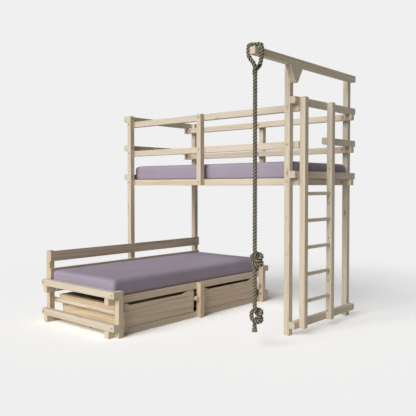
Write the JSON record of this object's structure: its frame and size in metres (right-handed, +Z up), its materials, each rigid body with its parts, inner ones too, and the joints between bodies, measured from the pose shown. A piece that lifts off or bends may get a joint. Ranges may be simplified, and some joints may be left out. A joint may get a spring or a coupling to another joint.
{
  "type": "l-shaped bunk bed",
  "caption": "L-shaped bunk bed of pale softwood with a high bed, a ladder, a climbing rope on a crane beam and a low bed on two sliding drawers.",
  "frame": {"origin": "middle of the foot, at floor level, of the post that the high and the low bed share at the wall", "axes": "+X along the high bed towards the ladder, +Y along the low bed towards the back, +Z up"},
  "size_m": [2.179, 2.14, 2.2951],
  "materials": {
    "spruce": "matt planed",
    "turned_wood": "matt turned",
    "drawer_panel": "matt panel",
    "mattress_fabric": "woven cover",
    "hemp_rope": "rough twisted fibre",
    "bolt_steel": "brown plated",
    "screw_steel": "zinc plated"
  },
  "bodies": {
    "root": {"backrest_board": "spruce", "climbing_rope": "hemp_rope", "crane_beam": "spruce", "crane_brace": "spruce", "drawer_rods": "turned_wood", "foot_beam": "spruce", "frame_bolts": "bolt_steel", "frame_nuts": "bolt_steel", "frame_screws": "screw_steel", "ladder_rungs": "turned_wood", "ladder_stile_back": "spruce", "ladder_stile_front": "spruce", "left_beam_bottom": "spruce", "left_beam_middle": "spruce", "left_beam_top": "spruce", "low_floor_beam_far": "spruce", "low_floor_beam_near": "spruce", "low_floor_rail_front": "spruce", "low_floor_rail_wall": "spruce", "low_post_far": "spruce", "low_post_middle": "spruce", "low_post_near": "spruce", "low_post_wall": "spruce", "low_side_beam_far": "spruce", "low_side_beam_near": "spruce", "low_side_rail_front": "spruce", "low_side_rail_wall": "spruce", "lower_mattress": "mattress_fabric", "lower_slats": "spruce", "mattress_board": "spruce", "post_back_left": "spruce", "post_back_middle": "spruce", "post_back_right": "spruce", "post_front_left": "spruce", "post_front_middle": "spruce", "post_front_right": "spruce", "rail_back_bottom": "spruce", "rail_back_middle": "spruce", "rail_back_top": "spruce", "rail_front_bottom": "spruce", "rail_front_middle": "spruce", "rail_front_top": "spruce", "right_beam_bottom": "spruce", "right_beam_middle": "spruce", "right_beam_top": "spruce", "slat_cleats": "spruce", "upper_mattress": "mattress_fabric", "upper_slats": "spruce"},
    "near_drawer": {"near_drawer_back": "spruce", "near_drawer_bottom": "drawer_panel", "near_drawer_front": "spruce", "near_drawer_runners": "spruce", "near_drawer_screws": "screw_steel", "near_drawer_sides": "spruce"},
    "far_drawer": {"far_drawer_back": "spruce", "far_drawer_bottom": "drawer_panel", "far_drawer_front": "spruce", "far_drawer_runners": "spruce", "far_drawer_screws": "screw_steel", "far_drawer_sides": "spruce"}
  },
  "joints": [
    {"name": "near_drawer_slide", "type": "slide", "parent": "root", "child": "near_drawer", "axis": [1, 0, 0], "range_m": [0, 0.6]},
    {"name": "far_drawer_slide", "type": "slide", "parent": "root", "child": "far_drawer", "axis": [1, 0, 0], "range_m": [0, 0.6]}
  ]
}
